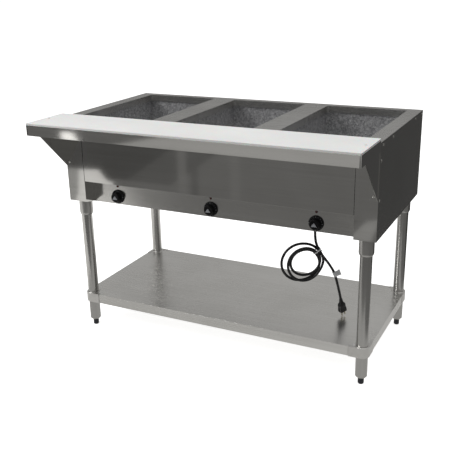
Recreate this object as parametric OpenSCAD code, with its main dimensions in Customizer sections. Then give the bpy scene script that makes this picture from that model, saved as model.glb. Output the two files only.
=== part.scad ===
// Three-well electric steam table: sheet-steel body with three sunk wells on
// four tube legs, an undershelf clamped to the legs, and a cutting board on a
// channel shelf along the front. A mains cord hangs tied in a coil below it.
// Millimetres. +Z up, +X along the length (to the right seen from the front),
// -Y to the front. The origin is on the floor under the middle of the table.

/* [Body] */
// Length of the body, end to end
table_l = 1197; // [1180:1:1240]
// Depth of the body, front face to rear face
body_d = 575; // [570:1:620]
// Height of the table top above the floor
top_h = 860; // [850:1:900]
// Height of the body panels below the table top
body_h = 322; // [318:1:330]
// Thickness of the body sheet
sheet_t = 1.5; // [1.2:0.1:1.8]
// Width of the front corner panels
corner_w = 75; // [72:1:76]
// Height of the apron between the front corners
apron_h = 241; // [238:1:244]
// How far the control panel is set back behind the apron
recess_d = 55; // [50:1:58]
// How far the control panel hangs below the bottom pan
lip_drop = 11; // [8:1:12]

/* [Wells] */
// Length of a well opening along the table
open_w = 303; // [300:1:306]
// Depth of a well opening, front to rear
open_d = 505; // [500:1:508]
// Distance between the middles of neighbouring wells
well_pitch = 396; // [392:1:398]
// Depth of a well below the table top
well_depth = 203; // [180:1:205]
// Height of the turned-down rim round an opening
rim_h = 25; // [20:1:30]

/* [Cutting board shelf] */
// Depth of the cutting board, front to rear
board_w = 203; // [195:1:215]
// Thickness of the cutting board
board_t = 6.4; // [6:0.1:7]
// How far the channel shelf stands above the table top
shelf_rise = 6.3; // [5:0.1:7]
// Height of the channel shelf under the board
channel_h = 37.3; // [34:0.1:40]
// Width of the slit at each end of the channel's front face
channel_slit = 4; // [2:0.5:5]
// How far the tip of a bracket is below the table top
bracket_drop = 185; // [180:1:190]

/* [Legs and undershelf] */
// Diameter of a leg tube
leg_d = 41.3; // [40:0.1:42]
// Distance of a leg's axis from the body's faces
leg_inset = 41; // [40:1:42]
// Height of the undershelf's top above the floor
shelf_h = 146; // [145:1:146]
// Height of the undershelf's turned-down edge
shelf_edge = 36; // [34:1:38]
// How far the undershelf reaches past the legs' axes
shelf_over = 25; // [24:1:26]

/* [Controls] */
// Diameter of a control knob
knob_d = 53; // [48:1:53]
// Height of a knob's axis above the floor
knob_z = 557; // [556:1:558]
// Height of a pilot light above the floor
pilot_z = 597; // [596:1:598]

/* [Cord] */
// Diameter of the mains cord
cord_d = 9.2; // [8:0.1:9.4]
// Radius of the coil's outer edge
coil_r = 78; // [76:1:80]

/* [Hidden] */
$fn = 48;

steel = "silver";
t = sheet_t;

// Faces of the body
half_l = table_l / 2;
front_y = (board_w - body_d) / 2;
rear_y = front_y + body_d;
board_front = front_y - board_w;
board_z = top_h + shelf_rise;
body_z = top_h - body_h;
under_top = top_h - t;
apron_z = top_h - apron_h;
recess_y = front_y + recess_d;
lip_z = body_z - lip_drop;
corner_x = half_l - corner_w;
seam = 1.5;

// Wells
well_y = (front_y + rear_y) / 2;
well_xs = [-well_pitch, 0, well_pitch];
rim_r = 6;
liner_gap = 8;
liner_t = 1;
liner_w = open_w + 2 * liner_gap;
liner_d = open_d + 2 * liner_gap;
liner_z = top_h - well_depth;
liner_flange = 9;
tray_w = 280;
tray_d = 400;
tray_h = 44;
tray_z = liner_z - liner_t - tray_h;
insulation_h = 24;
element_r = 4;
element_end_r = 6;
element_z = tray_z + liner_t + insulation_h + element_end_r + 0.05;

// Legs: every leg's axis, front left first
leg_r = leg_d / 2;
leg_wall = 1.5;
leg_x = half_l - leg_inset;
leg_ys = [front_y + leg_inset, rear_y - leg_inset];
leg_points = [for (y = leg_ys) for (sx = [-1, 1]) [sx * leg_x, y]];
tube_z = 32;
socket_h = 62;
socket_r = 25.5;
socket_cap = 6;
socket_fit = 0.15;
foot_h = 24;
foot_r = 10.8;
foot_gap = 0.3;
foot_stem_r = 6;
stem_top = 72;
insert_top = 62;
clamp_r = 27;
clamp_gap = 0.3;
clamp_z = shelf_h - shelf_edge - 2;
clamp_h = shelf_edge + 4;
clamp_arm = 62;
clamp_reach = 42;
clamp_wall = 12;
notch_gap = 1.3;
shelf_x = leg_x + shelf_over;
shelf_front = leg_ys[0] - shelf_over;
shelf_rear = leg_ys[1] + shelf_over;

// Controls
knob_gap = 1.2;
knob_h = 24;
skirt_h = 5.5;
grip_r = 18;
shaft_r = 3;
shaft_fit = 0.06;
shaft_reach = 17;
shaft_in = 16;
shaft_flat = 1.6;
flat_from = 3;
panel_hole_r = 5;
pilot_r = 4.2;
control_xs = [for (x = well_xs) x - 17];
switch_size = 34;
switch_depth = 32;
switch_back = recess_y + t + switch_depth;
harness_y = switch_back + 13;
harness_z = 600;
harness_r = 4;

// Screws
screw_r = 2.4;
screw_hole_r = 2.6;
screw_head_r = 4.5;
panel_screw_ys = [for (d = [32, 150, 460, 560]) front_y + d];
panel_screw_z = top_h - 13;
edge_screw_zs = [800, 672];
bracket_screw_zs = [top_h - bracket_drop + 14, 800];
bracket_screw_x = half_l - 14;
board_screw_x = half_l - 18;
board_screw_y = board_front + board_w * 0.52;

// Cord: exit through the bottom pan, coil and the hand-set route of each stretch
cord_r = cord_d / 2;
relief_l = 30;
exit_x = 346;
exit_y = -48;
coil_centre = [314, -88, 389];
coil_turn = atan2(0.6, 0.8);
coil_depth = 30;
coil_width = 32;
tie_angle = 34;
lead_points = [
    [346, -48, 508], [346, -48, 498], [346.5, -48, 485], [348, -48.5, 469],
    [351.6, -49.9, 454], [356.8, -51.6, 443], [362.3, -51.2, 433.5], [368, -50.6, 424]
];
tail_points = [
    [354.2, -45.3, 431], [359.6, -41.3, 422], [364.9, -37.6, 413.5], [371.5, -33.4, 402.5],
    [380, -28, 388.5], [387, -21, 375], [394, -14, 360], [400.5, -7.5, 345],
    [406, 0, 325], [410.5, 6, 304], [415, 13, 277], [418, 20, 253],
    [420.5, 25.5, 233], [422, 29, 220]
];
plug_axis = [5, 13, -54];
plug_turn = 20;
plug_body_l = 54;
prong_l = 18;
tag_size = [28, 0.8, 20];
tag_at = [406, 0, 330];

// A block between two opposite corners
module block(low, high) {
    translate(low) cube(high - low);
}

// A flat rounded rectangle centred on the origin
module round_rect(w, d, r) {
    square([w - 2 * r, d], center = true);
    square([w, d - 2 * r], center = true);
    for (sx = [-1, 1]) for (sy = [-1, 1])
        translate([sx * (w / 2 - r), sy * (d / 2 - r)]) circle(r);
}

// A cylinder along +Y from a point
module rod_y(p, r, l) {
    translate(p) rotate([-90, 0, 0]) cylinder(r = r, h = l);
}

// A cylinder along +X from a point
module rod_x(p, r, l) {
    translate(p) rotate([0, 90, 0]) cylinder(r = r, h = l);
}

// A pan-head screw whose head sits on a face; it points along -Z
module pan_screw(head_r, head_h, shank_l) {
    cylinder(r1 = head_r, r2 = head_r * 0.62, h = head_h);
    translate([0, 0, -shank_l]) cylinder(r = screw_r, h = shank_l + head_h / 2);
}

// ---- Body ----

module table_top() color(steel) {
    difference() {
        block([-half_l, front_y, under_top], [half_l, rear_y, top_h]);
        for (x = well_xs) translate([x, well_y, under_top - 1])
            linear_extrude(t + 2) round_rect(open_w, open_d, rim_r);
    }
    for (x = well_xs) translate([x, well_y, top_h - rim_h]) difference() {
        linear_extrude(rim_h - t / 2) round_rect(open_w + 2 * t, open_d + 2 * t, rim_r + t);
        translate([0, 0, -1]) linear_extrude(rim_h + 2) round_rect(open_w, open_d, rim_r);
    }
    // Turned-down edge inside the body panels
    difference() {
        block([t - half_l, front_y + t, under_top - 20], [half_l - t, rear_y - t, top_h - t / 2]);
        block([2 * t - half_l, front_y + 2 * t, under_top - 21], [half_l - 2 * t, rear_y - 2 * t, top_h + 1]);
        for (sx = [-1, 1]) for (y = panel_screw_ys)
            rod_x([sx * half_l - 5, y, panel_screw_z], screw_hole_r, 10);
    }
}

module front_apron() color(steel) {
    edge = corner_x - seam;
    block([-edge, front_y, apron_z], [edge, front_y + t, under_top]);
    block([-edge, front_y, apron_z], [edge, recess_y + t, apron_z + t]);
}

module control_panel() color(steel) difference() {
    union() {
        block([-corner_x, recess_y, lip_z], [corner_x, recess_y + t, apron_z]);
        block([-corner_x, recess_y, lip_z], [corner_x, recess_y + 12, lip_z + t]);
    }
    for (x = control_xs) {
        rod_y([x, recess_y - 1, knob_z], panel_hole_r, t + 2);
        rod_y([x, recess_y - 1, pilot_z], pilot_r, t + 2);
    }
}

// The right-hand corner; the left one is its mirror image. Its outer flange
// lies inside the end panel, and its inner one closes the recess.
module front_corner() difference() {
    union() {
        block([corner_x, front_y, body_z], [half_l, front_y + t, under_top]);
        translate([corner_x, 0, 0]) rotate([90, 0, 90]) linear_extrude(t) polygon([
            [front_y, body_z], [recess_y, lip_z], [recess_y + t, lip_z],
            [recess_y + t, apron_z], [front_y, apron_z]
        ]);
        block([half_l - 2 * t, front_y, body_z + 20], [half_l - t, front_y + 26, under_top - 22]);
    }
    for (z = bracket_screw_zs)
        rod_y([bracket_screw_x, front_y - 1, z], screw_hole_r, t + 2);
    for (z = edge_screw_zs)
        rod_x([half_l - 5, front_y + 16, z], screw_hole_r, 10);
}

module front_corner_left() color(steel) mirror([1, 0, 0]) front_corner();
module front_corner_right() color(steel) front_corner();

// The right-hand end; the left one is its mirror image
module end_panel() difference() {
    block([half_l - t, front_y + t, body_z], [half_l, rear_y - t, under_top]);
    for (y = panel_screw_ys)
        rod_x([half_l - 5, y, panel_screw_z], screw_hole_r, 10);
    for (z = edge_screw_zs)
        rod_x([half_l - 5, front_y + 16, z], screw_hole_r, 10);
}

module end_panel_left() color(steel) mirror([1, 0, 0]) end_panel();
module end_panel_right() color(steel) end_panel();

module rear_panel() color(steel) {
    block([-half_l, rear_y - t, body_z], [half_l, rear_y, under_top]);
}

module bottom_pan() color(steel) difference() {
    union() {
        block([t - half_l, front_y + t, body_z], [half_l - t, rear_y - t, body_z + t]);
        for (sx = [-1, 1]) translate([sx * (half_l - 1.5 * t) - t / 2, front_y + t, body_z])
            cube([t, body_d - 2 * t, 18]);
        block([t - half_l, rear_y - 2 * t, body_z], [half_l - t, rear_y - t, body_z + 18]);
    }
    block([-corner_x - t, front_y, body_z - 1], [corner_x + t, recess_y + t, body_z + 20]);
    translate([exit_x, exit_y, body_z - 1]) cylinder(r = 9, h = t + 2);
}

module panel_screws() color("gainsboro") for (sx = [0, 1]) mirror([sx, 0, 0]) {
    for (y = panel_screw_ys) translate([half_l, y, panel_screw_z])
        rotate([0, 90, 0]) pan_screw(screw_head_r, 1.8, 10);
    for (z = edge_screw_zs) translate([half_l, front_y + 16, z])
        rotate([0, 90, 0]) pan_screw(screw_head_r, 1.8, 10);
}

// ---- Cutting board and its shelf ----

module cutting_board() color("white") difference() {
    translate([0, board_front + board_w / 2, board_z])
        linear_extrude(board_t) round_rect(table_l, board_w, 3);
    for (sx = [-1, 1]) translate([sx * board_screw_x, board_screw_y, board_z]) {
        translate([0, 0, -1]) cylinder(r = screw_hole_r, h = board_t + 2);
        translate([0, 0, board_t - 3.5]) cylinder(r1 = screw_hole_r, r2 = 5.7, h = 4);
    }
}

module board_screws() color("gainsboro") for (sx = [-1, 1])
    translate([sx * board_screw_x, board_screw_y, board_z]) {
        translate([0, 0, board_t - 3.3]) cylinder(r1 = screw_r, r2 = 4.9, h = 2.9);
        translate([0, 0, -10]) cylinder(r = screw_r, h = board_t + 7);
        translate([0, 0, -5 - t]) cylinder(r = 4.4, h = 4, $fn = 6);
    }

module board_shelf() color(steel) {
    shelf_y = board_front + 2;
    low_z = board_z - channel_h;
    face_x = half_l - t - channel_slit;
    flange_x = half_l - 30;
    difference() {
        block([-half_l, shelf_y, board_z - t], [half_l, front_y, board_z]);
        for (sx = [-1, 1]) translate([sx * board_screw_x, board_screw_y, board_z - t - 1])
            cylinder(r = screw_hole_r, h = t + 2);
    }
    for (sx = [0, 1]) mirror([sx, 0, 0])
        block([half_l - t, shelf_y, low_z], [half_l, front_y, board_z - t / 2]);
    // Front face with its hem, and the flange against the apron
    block([-face_x, shelf_y, low_z], [face_x, shelf_y + t, board_z - t / 2]);
    block([-face_x, shelf_y, low_z], [face_x, shelf_y + 9, low_z + t]);
    block([-flange_x, front_y - t, low_z], [flange_x, front_y, board_z - t / 2]);
}

// The right-hand bracket: a triangular plate with a flange on the body
module board_bracket() difference() {
    tip_z = top_h - bracket_drop;
    rest_z = board_z - t;
    slope_y = front_y - (rest_z - tip_z);
    union() {
        translate([half_l - 2 * t, 0, 0]) rotate([90, 0, 90]) linear_extrude(t)
            polygon([[front_y, tip_z], [front_y, rest_z], [slope_y, rest_z], [front_y - 2.5, tip_z]]);
        block([half_l - 28, front_y - t, tip_z], [half_l - t, front_y, rest_z]);
    }
    for (z = bracket_screw_zs)
        rod_y([bracket_screw_x, front_y - t - 1, z], screw_hole_r, t + 2);
}

module board_bracket_left() color(steel) mirror([1, 0, 0]) board_bracket();
module board_bracket_right() color(steel) board_bracket();

module bracket_screws() color("gainsboro")
    for (sx = [-1, 1]) for (z = bracket_screw_zs)
        translate([sx * bracket_screw_x, front_y - t, z])
            rotate([90, 0, 0]) pan_screw(screw_head_r, 2, 10);

// ---- Wells and their heating ----

module well_liner(x) color("darkgray") translate([x, well_y, 0]) difference() {
    w = liner_w / 2;
    d = liner_d / 2;
    out = liner_t + liner_flange;
    union() {
        block([-w - liner_t, -d - liner_t, liner_z - liner_t], [w + liner_t, d + liner_t, under_top]);
        block([-w - out, -d - out, under_top - liner_t], [w + out, d + out, under_top]);
    }
    block([-w, -d, liner_z], [w, d, top_h]);
}

module well_liner_left() well_liner(well_xs[0]);
module well_liner_middle() well_liner(well_xs[1]);
module well_liner_right() well_liner(well_xs[2]);

// A tubular element bent into a U, lying on the insulation, with its two ends
// leaving through the tray's front wall
module heating_element(x) color("dimgray") translate([x, 0, element_z]) {
    bend_r = 75;
    bend_y = well_y + 90;
    end_y = well_y - tray_d / 2 + 14;
    for (sx = [-1, 1]) {
        rod_y([sx * bend_r, end_y, 0], element_r, bend_y - end_y);
        rod_y([sx * bend_r, end_y - 10, 0], element_end_r, 24);
    }
    translate([0, bend_y, 0]) rotate_extrude(angle = 180) translate([bend_r, 0]) circle(element_r);
}

module heating_element_left() heating_element(well_xs[0]);
module heating_element_middle() heating_element(well_xs[1]);
module heating_element_right() heating_element(well_xs[2]);

module element_trays() color("gray") for (x = well_xs)
    translate([x - tray_w / 2, well_y - tray_d / 2, tray_z]) difference() {
        cube([tray_w, tray_d, tray_h]);
        translate([liner_t, liner_t, liner_t])
            cube([tray_w - 2 * liner_t, tray_d - 2 * liner_t, tray_h]);
    }

module element_insulation() color("khaki") for (x = well_xs)
    translate([x - tray_w / 2 + liner_t, well_y - tray_d / 2 + liner_t, tray_z + liner_t])
        cube([tray_w - 2 * liner_t, tray_d - 2 * liner_t, insulation_h]);

// ---- Controls ----

module control_switch(x) color("dimgray") difference() {
    union() {
        block([x - switch_size / 2, recess_y + t, knob_z - switch_size / 2],
              [x + switch_size / 2, switch_back - 6, knob_z + switch_size / 2]);
        for (dx = [-12, 0, 12]) block([x + dx - 3, switch_back - 7, knob_z - 8], [x + dx + 3, switch_back, knob_z - 7]);
        block([x - 6, switch_back - 7, knob_z - 4], [x + 6, switch_back, knob_z + 4]);
    }
    rod_y([x, recess_y, knob_z], shaft_r + shaft_fit, t + shaft_in + 2);
}

module control_switch_left() control_switch(control_xs[0]);
module control_switch_middle() control_switch(control_xs[1]);
module control_switch_right() control_switch(control_xs[2]);

// The shaft has a flat where the knob sits on it
module switch_shaft(x) color("lightgray") difference() {
    rod_y([x, recess_y - shaft_reach, knob_z], shaft_r, shaft_reach + t + shaft_in);
    block([x - 4, recess_y - shaft_reach - 1, knob_z + shaft_flat], [x + 4, recess_y - flat_from, knob_z + 4]);
}

module switch_shaft_left() switch_shaft(control_xs[0]);
module switch_shaft_middle() switch_shaft(control_xs[1]);
module switch_shaft_right() switch_shaft(control_xs[2]);

// A skirted round knob with a raised pointer, bored for the flatted shaft
module control_knob(x) color("black")
    translate([x, recess_y - knob_gap, knob_z]) rotate([90, 0, 0]) difference() {
        r = knob_d / 2;
        union() {
            rotate_extrude() polygon([
                [0, 0], [r - 1, 0], [r, 1], [r, skirt_h - 2.5], [r - 1.5, skirt_h - 1],
                [grip_r + 1, skirt_h], [grip_r, skirt_h + 1.5], [grip_r - 1, knob_h - 3],
                [grip_r - 2.5, knob_h - 1], [0, knob_h - 1]
            ]);
            translate([0, 0, knob_h - 2]) linear_extrude(2)
                polygon([[-10.5, -6.5], [10.5, -6.5], [0, 7.5]]);
        }
        difference() {
            translate([0, 0, -1]) cylinder(r = shaft_r, h = shaft_reach - knob_gap + 1);
            translate([-4, shaft_flat, -2]) cube([8, 4, 30]);
        }
        translate([0, 0, -1]) cylinder(r = shaft_r, h = 1 + flat_from - knob_gap);
    }

module control_knob_left() control_knob(control_xs[0]);
module control_knob_middle() control_knob(control_xs[1]);
module control_knob_right() control_knob(control_xs[2]);

module pilot_light(x) color("darkred") translate([x, recess_y, pilot_z])
    rotate([90, 0, 0]) rotate_extrude() polygon([
        [0, 3.6], [2, 3.3], [3.6, 2.2], [4.2, 1.2], [5, 1.2], [5, 0],
        [pilot_r - 0.1, 0], [pilot_r - 0.1, -t], [5, -t], [5, -19], [0, -19]
    ]);

module pilot_light_left() pilot_light(control_xs[0]);
module pilot_light_middle() pilot_light(control_xs[1]);
module pilot_light_right() pilot_light(control_xs[2]);

module terminal_box() color("lightgray")
    translate([exit_x - 50, harness_y - 10, body_z + t]) difference() {
        cube([72, 76, 50]);
        translate([1.5, 1.5, -1]) cube([69, 73, 49.5]);
        translate([40, 10, 40]) cylinder(r = harness_r, h = 20);
    }

// Bundled wires along the switches, with a drop to each switch, tray and the box
module wire_harness() color("darkorange") {
    end_x = well_xs[2] + 30;
    rod_x([-end_x, harness_y, harness_z], harness_r, 2 * end_x);
    for (x = control_xs) {
        translate([x, harness_y, knob_z]) cylinder(r = harness_r, h = harness_z - knob_z);
        rod_y([x, switch_back, knob_z], harness_r - 1, harness_y - switch_back);
        translate([x, harness_y, knob_z]) sphere(harness_r);
    }
    for (x = [-end_x, well_xs[1] + 30, end_x])
        translate([x, harness_y, harness_z]) {
            sphere(harness_r);
            cylinder(r = harness_r, h = tray_z - harness_z);
        }
    translate([exit_x - 10, harness_y, body_z + t + 48.5])
        cylinder(r = harness_r - 0.2, h = harness_z - body_z - t - 48.5);
}

// ---- Legs, feet and undershelf ----

module leg_sockets() color(steel) for (p = leg_points) translate([p[0], p[1], 0]) {
    plate = 64;
    difference() {
        union() {
            translate([-plate / 2, -plate / 2, body_z - 2.5]) cube([plate, plate, 2.5]);
            translate([0, 0, body_z - socket_h]) rotate_extrude() polygon([
                [0, 0], [socket_r - 3.2, 0], [socket_r - 1, 5], [socket_r, 9],
                [socket_r, socket_h - 1], [0, socket_h - 1]
            ]);
        }
        translate([0, 0, body_z - socket_h - 1])
            cylinder(r = leg_r + socket_fit, h = socket_h - socket_cap + 1);
    }
}

module leg(p) color(steel) translate([p[0], p[1], tube_z]) difference() {
    height = body_z - socket_cap - 1 - tube_z;
    cylinder(r = leg_r, h = height);
    translate([0, 0, -1]) cylinder(r = leg_r - leg_wall, h = height + 2);
}

module leg_front_left() leg(leg_points[0]);
module leg_front_right() leg(leg_points[1]);
module leg_rear_left() leg(leg_points[2]);
module leg_rear_right() leg(leg_points[3]);

// A bullet foot on a threaded stem, which screws into the leg's insert
module foot(p) color("black") translate([p[0], p[1], 0]) rotate_extrude() polygon([
    [0, 0], [7, 0], [9, 0.8], [10.3, 2.5], [foot_r, 5], [foot_r, foot_h - 1], [foot_r - 1, foot_h],
    [foot_stem_r, foot_h], [foot_stem_r, stem_top - 1], [foot_stem_r - 1, stem_top], [0, stem_top]
]);

module foot_front_left() foot(leg_points[0]);
module foot_front_right() foot(leg_points[1]);
module foot_rear_left() foot(leg_points[2]);
module foot_rear_right() foot(leg_points[3]);

module leg_inserts() color("darkgray") for (p = leg_points)
    translate([p[0], p[1], 0]) rotate_extrude() polygon([
        [foot_stem_r + 0.06, foot_h + foot_gap], [14, foot_h + foot_gap], [leg_r - 0.5, tube_z - 1.5],
        [leg_r, tube_z], [leg_r - leg_wall, tube_z],
        [leg_r - leg_wall, insert_top], [foot_stem_r + 0.06, insert_top]
    ]);

// Turns a corner made for the right rear leg to face outwards at any leg
module at_leg(p) translate([p[0], p[1], 0])
    mirror([p[0] < 0 ? 1 : 0, 0, 0]) mirror([0, p[1] < 0 ? 1 : 0, 0]) children();

// A clearance round each clamp, open to the shelf's outer corner
module shelf_notch(p) at_leg(p) translate([0, 0, clamp_z - 5]) {
    h = clamp_h + 10;
    side = clamp_r - clamp_wall - notch_gap;
    cylinder(r = clamp_r + notch_gap, h = h);
    cube([40, 40, h]);
    translate([-clamp_reach - notch_gap, side, 0]) cube([clamp_reach + 5, 40 - side, h]);
    translate([side, -clamp_reach - notch_gap, 0]) cube([40 - side, clamp_reach + 5, h]);
}

module undershelf() color(steel) {
    low_z = shelf_h - shelf_edge;
    difference() {
        union() {
            difference() {
                block([-shelf_x, shelf_front, low_z], [shelf_x, shelf_rear, shelf_h]);
                block([t - shelf_x, shelf_front + t, low_z - 1], [shelf_x - t, shelf_rear - t, shelf_h - t]);
            }
            for (y = [shelf_front, shelf_rear - 12])
                block([-shelf_x, y, low_z], [shelf_x, y + 12, low_z + t]);
        }
        for (p = leg_points) shelf_notch(p);
    }
    // Hat channel under the middle of the shelf
    mid_y = (shelf_front + shelf_rear) / 2;
    difference() {
        block([-shelf_x + 70, mid_y - 40, shelf_h - 24], [shelf_x - 70, mid_y + 40, shelf_h - t / 2]);
        block([-shelf_x + 69, mid_y - 40 + t, shelf_h - 24 + t], [shelf_x - 69, mid_y + 40 - t, shelf_h - t]);
    }
}

// A corner casting round the leg, flush with the shelf's two edges, with two
// arms tucked inside them and a set screw facing inwards
module leg_clamp(p) at_leg(p) {
    arm_z = shelf_h - shelf_edge + t + 0.5;
    arm_h = shelf_edge - 2 * t - 1;
    inner = shelf_over - t;
    difference() {
        union() {
            translate([0, 0, clamp_z]) rotate_extrude() polygon([
                [0, 0], [clamp_r - 1.5, 0], [clamp_r, 1.5], [clamp_r, clamp_h - 1.5],
                [clamp_r - 1.5, clamp_h], [0, clamp_h]
            ]);
            translate([-clamp_reach, clamp_r - clamp_wall, clamp_z + 1])
                cube([clamp_reach, clamp_wall - 0.5, clamp_h - 2]);
            translate([clamp_r - clamp_wall, -clamp_reach, clamp_z + 1])
                cube([clamp_wall - 0.5, clamp_reach, clamp_h - 2]);
            translate([-clamp_arm, inner - 6, arm_z]) cube([clamp_arm, 6, arm_h]);
            translate([inner - 6, -clamp_arm, arm_z]) cube([6, clamp_arm, arm_h]);
        }
        translate([0, 0, clamp_z - 1]) cylinder(r = leg_r + clamp_gap, h = clamp_h + 2);
        rotate([0, 0, -135]) rod_x([leg_r - 2, 0, shelf_h - shelf_edge / 2], 4, 12);
    }
}

module leg_clamps() color("gainsboro") for (p = leg_points) leg_clamp(p);

module clamp_screws() color("dimgray") for (p = leg_points)
    at_leg(p) translate([0, 0, shelf_h - shelf_edge / 2])
        rotate([0, 0, -135]) difference() {
            rod_x([leg_r + 0.35, 0, 0], 3.95, 9.5);
            rod_x([leg_r + 6, 0, 0], 2, 5);
        }

// ---- Cord ----

module strain_relief() color("black") translate([exit_x, exit_y, body_z]) rotate_extrude() polygon([
    [0, -relief_l], [cord_r + 0.8, -relief_l], [7.6, -8], [7.6, -3], [11, -3], [11, 0],
    [8.8, 0], [8.8, t], [9.8, t], [9.8, t + 3], [0, t + 3]
]);

function unit(v) = v / norm(v);

// Direction of the route at point i
function along(pts, i) = unit(pts[min(i + 1, len(pts) - 1)] - pts[max(i - 1, 0)]);

// A closed round tube swept along the points of a route
module swept_tube(pts, r, sides = 10) {
    side = [0.6, -0.8, 0];
    rings = [for (i = [0:len(pts) - 1]) let (d = along(pts, i), u = unit(cross(d, side)), v = cross(d, u))
        for (k = [0:sides - 1]) pts[i] + r * (cos(360 * k / sides) * u + sin(360 * k / sides) * v)];
    last = (len(pts) - 1) * sides;
    walls = [for (i = [0:len(pts) - 2]) for (k = [0:sides - 1]) let (a = i * sides, n = (k + 1) % sides)
        each [[a + k, a + n, a + sides + n], [a + k, a + sides + n, a + sides + k]]];
    caps = [[for (k = [0:sides - 1]) sides - 1 - k], [for (k = [0:sides - 1]) last + k]];
    polyhedron(points = rings, faces = concat(walls, caps));
}

module cord_lead() color("black") swept_tube(lead_points, cord_r);
module cord_tail() color("black") swept_tube(tail_points, cord_r);

module cord_coil() color("black") translate(coil_centre)
    rotate([90, 0, coil_turn]) rotate_extrude($fn = 64)
        translate([coil_r - coil_width / 2, 0]) round_rect(coil_width, coil_depth, 9);

// Turns the local -Z axis to lie along a direction
module point_along(d) {
    rotate([0, -acos(-unit(d)[2]), atan2(d[1], d[0])]) children();
}

// The plug hangs from the cord: a neck, a stepped body, two blades and a round pin
module power_plug() color("black") translate(tail_points[len(tail_points) - 1])
    point_along(plug_axis) rotate([0, 0, plug_turn]) {
        translate([0, 0, -16]) cylinder(r1 = 7.5, r2 = cord_r + 0.8, h = 16);
        translate([0, 0, -22]) cylinder(r1 = 11, r2 = 8, h = 7);
        translate([0, 0, -plug_body_l]) linear_extrude(plug_body_l - 21) round_rect(29, 23, 6);
        for (sx = [-1, 1])
            translate([sx * 6.35 - 0.8, -5.2, -plug_body_l - prong_l]) cube([1.6, 6.4, prong_l + 1]);
        translate([0, 5.6, -plug_body_l - prong_l]) cylinder(r = 2.4, h = prong_l + 1);
    }

// A folded paper flag stuck round the cord
module cord_tag() color("whitesmoke") translate(tag_at) rotate([0, -22, 28])
    translate([-tag_size[0] * 0.25, -tag_size[1] / 2, -tag_size[2] / 2]) cube(tag_size);

// A wire tie round the coil where the two ends leave it
module cord_tie() color("white") translate(coil_centre) rotate([0, 0, coil_turn])
    rotate([0, -tie_angle, 0]) translate([coil_r - coil_width / 2, 0, 0])
        rotate_extrude() translate([coil_width / 2 - 0.2, -2]) square([1.6, 4]);

table_top();
front_apron();
control_panel();
front_corner_left();
front_corner_right();
end_panel_left();
end_panel_right();
rear_panel();
bottom_pan();
panel_screws();
cutting_board();
board_screws();
board_shelf();
board_bracket_left();
board_bracket_right();
bracket_screws();
well_liner_left();
well_liner_middle();
well_liner_right();
heating_element_left();
heating_element_middle();
heating_element_right();
element_trays();
element_insulation();
control_switch_left();
control_switch_middle();
control_switch_right();
switch_shaft_left();
switch_shaft_middle();
switch_shaft_right();
control_knob_left();
control_knob_middle();
control_knob_right();
pilot_light_left();
pilot_light_middle();
pilot_light_right();
terminal_box();
wire_harness();
leg_sockets();
leg_front_left();
leg_front_right();
leg_rear_left();
leg_rear_right();
foot_front_left();
foot_front_right();
foot_rear_left();
foot_rear_right();
leg_inserts();
undershelf();
leg_clamps();
clamp_screws();
strain_relief();
cord_lead();
cord_coil();
cord_tail();
power_plug();
cord_tag();
cord_tie();
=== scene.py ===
import math

import bmesh
import bpy
from mathutils import Matrix, Vector


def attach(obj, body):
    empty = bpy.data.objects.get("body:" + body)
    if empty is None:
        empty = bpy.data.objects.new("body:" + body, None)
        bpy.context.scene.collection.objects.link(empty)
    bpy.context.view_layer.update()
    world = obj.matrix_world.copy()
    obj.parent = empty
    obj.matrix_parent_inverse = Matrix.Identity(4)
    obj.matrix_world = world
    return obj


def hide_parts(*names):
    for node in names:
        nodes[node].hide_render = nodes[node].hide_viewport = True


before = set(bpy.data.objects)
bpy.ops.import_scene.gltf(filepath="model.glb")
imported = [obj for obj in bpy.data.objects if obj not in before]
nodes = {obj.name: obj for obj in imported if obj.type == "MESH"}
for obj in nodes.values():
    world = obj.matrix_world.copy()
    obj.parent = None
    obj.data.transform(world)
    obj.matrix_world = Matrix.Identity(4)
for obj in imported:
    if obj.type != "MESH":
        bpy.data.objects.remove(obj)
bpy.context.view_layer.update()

scene = bpy.context.scene

# Measures of the CAD model, in metres
SHEET_T = 0.0015
HALF_L = 0.5985
FRONT_Y = -0.186
RECESS_Y = -0.131
BODY_Z = 0.538
TOP_H = 0.860
BOARD_TOP = 0.8727
BOARD_FRONT = -0.389
KNOB_XS = (-0.413, -0.017, 0.379)
KNOB_Z = 0.557
# Screws: the end panels' upper row, measured back from the front, then the edge, bracket and board screws
END_SCREW_STEPS = (0.032, 0.150, 0.460, 0.560)
END_SCREW_Z = TOP_H - 0.013
EDGE_SCREW_Y = FRONT_Y + 0.016
EDGE_SCREW_ZS = (0.800, 0.672)
BRACKET_SCREW_X = 0.5845
BRACKET_SCREW_ZS = (0.689, 0.800)
BOARD_SCREW_X = 0.5805
BOARD_SCREW_Y = BOARD_FRONT + 0.10556


# ---- Camera ----

CAMERA_PLACE = Vector((1.1568, -2.3305, 1.3634))
CAMERA_AIM = Vector((-0.0807, 0.102, 0.4126))
CAMERA_LENS = 58.808
CAMERA_ROLL = -1.31


def camera():
    data = bpy.data.cameras.new("camera")
    data.lens = CAMERA_LENS
    data.sensor_width = 36
    data.clip_start = 0.01
    data.clip_end = 100
    made = bpy.data.objects.new("camera", data)
    scene.collection.objects.link(made)
    made.location = CAMERA_PLACE
    turn = (CAMERA_AIM - CAMERA_PLACE).to_track_quat("-Z", "Y")
    roll = Matrix.Rotation(math.radians(CAMERA_ROLL), 4, "Z").to_quaternion()
    made.rotation_mode = "QUATERNION"
    made.rotation_quaternion = turn @ roll
    scene.camera = made


camera()


# ---- Materials ----

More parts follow.
